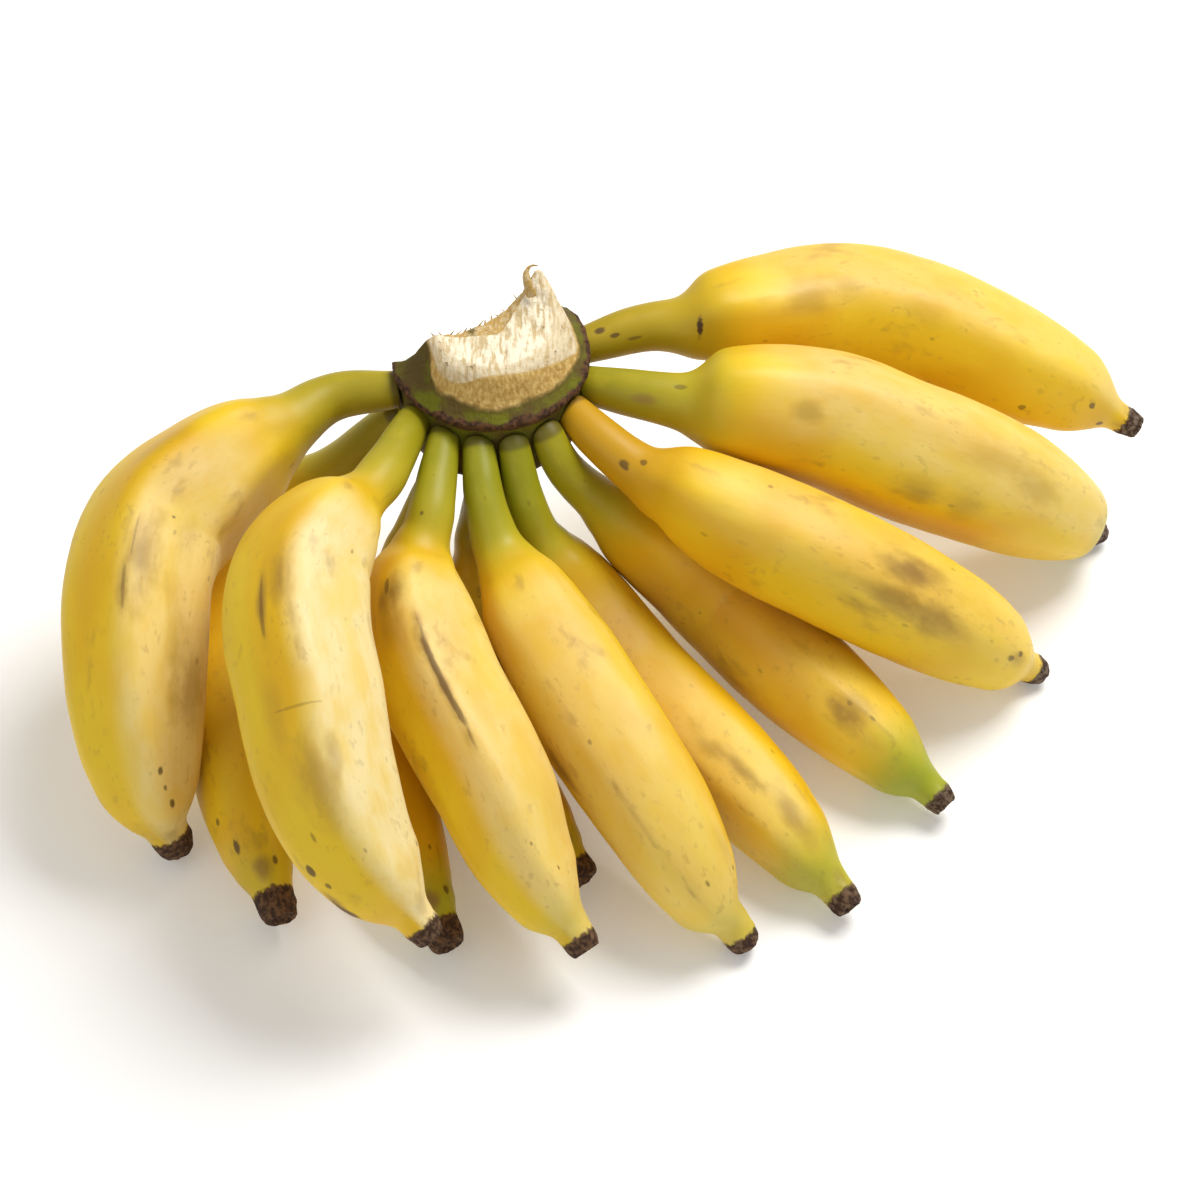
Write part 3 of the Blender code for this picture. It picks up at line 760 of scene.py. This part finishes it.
class Paint:
    """A material's nodes, added one at a time."""

    def __init__(self, name):
        self.material = bpy.data.materials.new(name)
        self.material.use_nodes = True
        self.tree = self.material.node_tree
        self.shader = self.tree.nodes["Principled BSDF"]

    def feed(self, socket, value):
        if isinstance(value, bpy.types.NodeSocket):
            self.tree.links.new(value, socket)
        else:
            socket.default_value = value

    def add(self, kind, inputs, **settings):
        made = self.tree.nodes.new(kind)
        for setting, value in settings.items():
            setattr(made, setting, value)
        for socket, value in inputs.items():
            self.feed(made.inputs[socket], value)
        return made

    def attribute(self, name):
        return self.add("ShaderNodeAttribute", {}, attribute_name=name).outputs["Vector"]

    def split(self, vector):
        return self.add("ShaderNodeSeparateXYZ", {0: vector}).outputs

    def math(self, operation, first, second=0.0):
        return self.add("ShaderNodeMath", {0: first, 1: second}, operation=operation).outputs[0]

    def times(self, first, second):
        return self.math("MULTIPLY", first, second)

    def vector(self, operation, first, second):
        return self.add("ShaderNodeVectorMath", {0: first, 1: second}, operation=operation).outputs

    def ramp(self, value, low, high):
        """0 below the low value and 1 above the high one."""
        inputs = {"Value": value, "From Min": low, "From Max": high}
        return self.add("ShaderNodeMapRange", inputs, interpolation_type="SMOOTHSTEP").outputs[0]

    def fall(self, value, low, high):
        """1 below the low value and 0 above the high one."""
        return self.math("SUBTRACT", 1.0, self.ramp(value, low, high))

    def noise(self, place, scales, detail=2.0):
        sized = self.vector("MULTIPLY", place, scales)[0]
        return self.add("ShaderNodeTexNoise", {"Vector": sized, "Scale": 1.0, "Detail": detail}).outputs[0]

    def mix(self, factor, first, second):
        return self.add("ShaderNodeMix", {0: factor, 6: first, 7: second}, data_type="RGBA").outputs[2]

    def blot(self, place, wobble, target, half_length, half_width, core):
        """How strongly a mark shows: 1 in its core, 0 outside its uneven edge."""
        away = self.vector("SUBTRACT", place, target)[0]
        sized = self.vector("MULTIPLY", away, (1 / half_length, 1 / half_width, 1 / half_width))[0]
        far = self.vector("LENGTH", sized, sized)["Value"]
        return self.fall(self.math("ADD", far, wobble), core, MARK_EDGE)

    def bump(self, height, strength):
        inputs = {"Height": height, "Strength": strength, "Distance": BUMP_DISTANCE}
        self.feed(self.shader.inputs["Normal"], self.add("ShaderNodeBump", inputs).outputs[0])


def paint_peel(name, spec, look):
    """A finger's peel: two yellows, a green stalk, a painted highlight on its lit side, bruises, scars,
    painted shade, specks and a dry cap.
    """
    length = stations_along(finger_line(name, spec), [])[1]
    paint = Paint(name + "_peel")
    place = paint.attribute("straight")
    share, ridge, radius = paint.split(paint.attribute("growth"))
    broad = paint.noise(place, BROAD_WAVES)
    blotchy = paint.noise(place, BLOTCH_WAVES, 4.0)
    grain = paint.noise(place, GRAIN_WAVES, 3.0)

    colour = paint.mix(paint.ramp(broad, 0.35, 0.65), DEEP_YELLOW, YELLOW)
    # Painted highlight: a pale, mottled tone painted on the side of the finger that faces the light
    highlight_turn, highlight_edge, highlight_amount = look["painted_highlight"]
    facing = Vector((0.0, math.cos(math.radians(highlight_turn)), math.sin(math.radians(highlight_turn))))
    looks_there = paint.math("DIVIDE", paint.vector("DOT_PRODUCT", place, facing)["Value"], radius)
    mottled = paint.math("ADD", 0.55, paint.times(paint.ramp(blotchy, 0.30, 0.62), 0.45))
    painted_highlight = paint.times(paint.ramp(looks_there, highlight_edge - PAINTED_HIGHLIGHT_FADE, highlight_edge + PAINTED_HIGHLIGHT_FADE), mottled)
    painted_highlight = paint.times(painted_highlight, paint.ramp(share, *PAINTED_HIGHLIGHT_STARTS))
    colour = paint.mix(paint.times(painted_highlight, highlight_amount), colour, PAINTED_HIGHLIGHT)
    colour = paint.mix(paint.times(paint.ramp(grain, 0.50, 0.75), GRAIN_AMOUNT), colour, DEEP_YELLOW)

    wandering = paint.math("ADD", share, paint.times(paint.math("SUBTRACT", blotchy, 0.5), RAGGED_STALK))
    stalk_colour = paint.mix(paint.ramp(share, *STALK_YELLOWS), OLIVE, YELLOW_GREEN)
    stalk_blotches = paint.times(paint.ramp(blotchy, 0.45, 0.7), STALK_BLOTCHES)
    stalk_colour = paint.mix(stalk_blotches, stalk_colour, YELLOW_GREEN)
    stalk_colour = paint.mix(look["stalk"], AMBER, stalk_colour)
    colour = paint.mix(paint.fall(wandering, *STALK_ENDS), colour, stalk_colour)
    neck_starts = NECK_STARTS - NECK_SPREAD * look["neck"]
    neck = paint.times(paint.ramp(wandering, neck_starts, NECK_FULL), look["neck"])
    colour = paint.mix(neck, colour, NECK_GREEN)

    worn = paint.times(paint.ramp(ridge, 0.80, 1.0), paint.ramp(blotchy, 0.52, 0.66))
    colour = paint.mix(paint.times(worn, WORN_AMOUNT), colour, BRUISE_AND_SHADE_BROWN)
    smudges = paint.ramp(paint.noise(place, SMUDGE_WAVES, 5.0), 0.60, 0.74)
    colour = paint.mix(paint.times(smudges, SMUDGE_AMOUNT), colour, BRUISE_AND_SHADE_BROWN)
    mottles = paint.ramp(paint.noise(place, MOTTLE_WAVES, 4.0), 0.56, 0.68)
    mottles = paint.times(mottles, paint.ramp(blotchy, 0.42, 0.60))
    mottles = paint.times(mottles, paint.ramp(share, *MOTTLES_START))
    colour = paint.mix(paint.times(mottles, MOTTLE_AMOUNT), colour, BRUISE_AND_SHADE_BROWN)
    # The finger's own marks: bruises and scars, and on some fingers painted shade along an edge or in a
    # crease
    soft_wobble = paint.times(paint.math("SUBTRACT", blotchy, 0.5), SOFT_MARK_WOBBLE)
    sharp_wobble = paint.times(paint.math("SUBTRACT", grain, 0.5), SHARP_MARK_WOBBLE)
    kinds = (("bruises_and_painted_shade", soft_wobble, SOFT_MARK_CORE, BRUISE_AND_SHADE_BROWN), ("scars_and_painted_shade", sharp_wobble, SHARP_MARK_CORE, SCAR_AND_SHADE_DARK))
    for marks, wobble, core, mark_colour in kinds:
        for at, turn, half_length, half_width, strength in look[marks]:
            target = mark_place(spec, at, turn, length)
            blot = paint.blot(place, wobble, target, half_length * MM, half_width * MM, core)
            colour = paint.mix(paint.times(blot, strength), colour, mark_colour)

    sized = paint.vector("MULTIPLY", place, SPECK_WAVES)[0]
    cells = paint.add("ShaderNodeTexVoronoi", {"Vector": sized, "Scale": 1.0})
    chosen = paint.ramp(paint.split(cells.outputs["Color"])[0], 0.80, 0.83)
    specks = paint.times(paint.fall(cells.outputs["Distance"], 0.07, 0.15), chosen)
    more_at_tip = paint.times(paint.ramp(share, *SPECKS_GROW), TIP_SPECK_AMOUNT)
    colour = paint.mix(paint.times(specks, paint.math("ADD", SPECK_AMOUNT, more_at_tip)), colour, SCAR_AND_SHADE_DARK)

    root_edge = paint.times(paint.fall(share, *ROOT_EDGE_ENDS), ROOT_EDGE_AMOUNT)
    colour = paint.mix(root_edge, colour, DARK_SCALE)
    crust = paint.noise(place, CRUST_WAVES, 4.0)
    cap_colour = paint.mix(look["grey_cap"], CAP_BROWN, CAP_GREY)
    cap_colour = paint.mix(paint.ramp(crust, 0.40, 0.65), CAP_DARK, cap_colour)
    ragged = paint.math("ADD", share, paint.times(paint.math("SUBTRACT", crust, 0.5), RAGGED_CAP))
    cap = paint.ramp(ragged, look["cap_from"], look["cap_from"] + CAP_EDGE)
    colour = paint.mix(cap, colour, cap_colour)
    paint.feed(paint.shader.inputs["Base Color"], colour)

    paint.feed(paint.shader.inputs["Specular IOR Level"], PEEL_SPECULAR)
    waxy = paint.math("ADD", 0.38, paint.times(blotchy, 0.14))
    paint.feed(paint.shader.inputs["Roughness"], paint.math("ADD", waxy, paint.times(cap, 0.45)))
    relief = paint.math("ADD", paint.times(grain, 0.12), paint.times(paint.times(crust, cap), 1.6))
    paint.bump(relief, 0.5)
    return paint.material


def mark_place(spec, share, turn, length):
    """A mark's place on the unbent finger, in metres."""
    radius, _ = finger_radius(spec, share)
    turn = math.radians(turn)
    return (share * length * MM, math.cos(turn) * radius * MM, math.sin(turn) * radius * MM)


def paint_crown():
    """Olive rind, a scaly brown ring, a lip of cut flesh painted tan as shade, and a pale fibrous cut."""
    paint = Paint("crown_tissue")
    place = paint.attribute("straight")
    x, y, z = paint.split(place)
    level, inward, cut = paint.split(paint.attribute("growth"))
    broad = paint.noise(place, CROWN_BROAD_WAVES, 4.0)
    fine = paint.noise(place, CROWN_FINE_WAVES, 4.0)
    fibres = paint.noise(place, CUT_FIBRE_WAVES, 4.0)
    threads = paint.noise(place, THREAD_WAVES, 3.0)
    uneven = paint.times(paint.math("SUBTRACT", broad, 0.5), 0.0030)
    height = paint.math("ADD", level, uneven)
    around = paint.ramp(paint.math("DIVIDE", paint.math("ARCTAN2", y, x), math.pi), WAY_STARTS, WAY_ENDS)
    around.node.interpolation_type = "LINEAR"

    colour = paint.mix(paint.ramp(broad, 0.40, 0.62), DRY_RIND, RIND)
    colour = paint.mix(paint.times(paint.fall(around, 0.04, 0.22), 0.75), colour, DRY_RIND)
    # The crown is darker towards its base
    colour = paint.mix(paint.fall(level, *DARKER_BASE_ENDS), colour, DRY_RIND)
    scales = paint.mix(paint.ramp(fine, 0.38, 0.62), DARK_SCALE, SCALE)
    ring = paint.times(paint.ramp(height, *RING_STARTS), paint.fall(height, *RING_ENDS))
    colour = paint.mix(ring, colour, scales)

    # The lip: cut flesh painted tan, a painted shade on the facet below the pale cut, streaked by fibres
    lip_starts = graph(paint, around, LIP_STARTS)
    lip = paint.ramp(paint.math("SUBTRACT", height, lip_starts), *LIP_BLEND)
    shaded_lip_colour = paint.mix(paint.ramp(threads, 0.40, 0.62), DARK_LIP, SHADED_FLESH_TAN)
    colour = paint.mix(lip, colour, shaded_lip_colour)
    edge = paint.math("ABSOLUTE", paint.math("SUBTRACT", height, lip_starts))
    colour = paint.mix(paint.times(paint.fall(edge, *LIP_LINE), 0.6), colour, DRY_RIND)

    cut_starts = graph(paint, around, CUT_STARTS)
    pale = paint.ramp(paint.math("SUBTRACT", level, cut_starts), *LIP_BLEND)
    cut_colour = paint.mix(paint.ramp(fibres, 0.36, 0.56), DRY_CUT, CUT)
    dry = paint.times(paint.ramp(broad, 0.52, 0.68), paint.ramp(fine, 0.40, 0.60))
    cut_colour = paint.mix(paint.times(dry, 0.55), cut_colour, DRY_CUT)
    cut_colour = paint.mix(paint.times(paint.fall(inward, 0.0, 0.08), 0.45), cut_colour, DRY_CUT)
    specks = paint.times(paint.ramp(fine, 0.66, 0.72), paint.fall(inward, 0.10, 0.45))
    cut_colour = paint.mix(paint.times(specks, 0.7), cut_colour, SCALE)
    colour = paint.mix(pale, colour, cut_colour)
    walls = paint.mix(paint.ramp(threads, 0.40, 0.62), DARK_LIP, DRY_CUT)
    walls = paint.mix(paint.ramp(broad, 0.55, 0.70), walls, DRY_RIND)
    colour = paint.mix(paint.times(cut, paint.ramp(level, *WALLS_START)), colour, walls)
    paint.feed(paint.shader.inputs["Base Color"], colour)

    paint.feed(paint.shader.inputs["Specular IOR Level"], CROWN_SPECULAR)
    paint.feed(paint.shader.inputs["Roughness"], paint.math("ADD", 0.62, paint.times(fine, 0.3)))
    paint.bump(paint.math("ADD", fibres, paint.times(fine, 0.8)), 0.7)
    return paint.material


def graph(paint, value, points):
    """A height along the crown's outside, in metres, read from points of (share of the way, share)."""
    curve = paint.add("ShaderNodeFloatCurve", {"Value": value})
    line = curve.mapping.curves[0]
    line.points[0].location = points[0]
    line.points[1].location = points[-1]
    for point in points[1:-1]:
        line.points.new(*point)
    curve.mapping.update()
    return paint.times(curve.outputs[0], GRAPH_HEIGHT)


def make_floor():
    bpy.ops.object.select_all(action="DESELECT")
    bpy.ops.mesh.primitive_plane_add(size=FLOOR_SIZE, location=(0.0, 0.0, -FLOOR_DROP))
    floor = bpy.context.object
    floor.name = "floor"
    paint = Paint("pale_floor")
    paint.feed(paint.shader.inputs["Base Color"], FLOOR_GREY)
    paint.feed(paint.shader.inputs["Emission Color"], WHITE)
    paint.feed(paint.shader.inputs["Emission Strength"], FLOOR_GLOW)
    paint.feed(paint.shader.inputs["Roughness"], 0.9)
    floor.data.materials.append(paint.material)


def add_softbox(name, place, size, power, colour):
    light = bpy.data.lights.new(name, "AREA")
    light.size = size
    light.energy = power
    light.color = colour
    lamp = bpy.data.objects.new(name, light)
    bpy.context.collection.objects.link(lamp)
    lamp.location = place
    lamp.rotation_euler = (Vector(LAMPS_AIM) - Vector(place)).to_track_quat("-Z", "Y").to_euler()


def light_studio():
    world = bpy.data.worlds.new("pale_room")
    world.use_nodes = True
    world.node_tree.nodes["Background"].inputs["Color"].default_value = WHITE
    world.node_tree.nodes["Background"].inputs["Strength"].default_value = ROOM_BRIGHTNESS
    bpy.context.scene.world = world
    for name, lamp in LAMPS.items():
        add_softbox(name, *lamp)


def place_camera():
    lens = bpy.data.cameras.new("camera")
    lens.lens = CAMERA_LENS
    camera = bpy.data.objects.new("camera", lens)
    bpy.context.collection.objects.link(camera)
    aim = MIDDLE + Vector(CAMERA_AIM) * MM
    back_to_camera = Vector((0.0, -math.cos(CAMERA_RISE), math.sin(CAMERA_RISE)))
    camera.location = aim + back_to_camera * CAMERA_DISTANCE
    camera.rotation_euler = (math.pi / 2 - CAMERA_RISE, 0.0, 0.0)
    bpy.context.scene.camera = camera
    bpy.context.scene.view_settings.view_transform = "Standard"


for finger_name, finger_spec in FINGERS.items():
    finger = make_finger(finger_name, finger_spec)
    finger.data.materials.append(paint_peel(finger_name, finger_spec, LOOKS[finger_name]))
crown_paint = paint_crown()
make_crown().data.materials.append(crown_paint)
make_frays().data.materials.append(crown_paint)
make_floor()
light_studio()
place_camera()
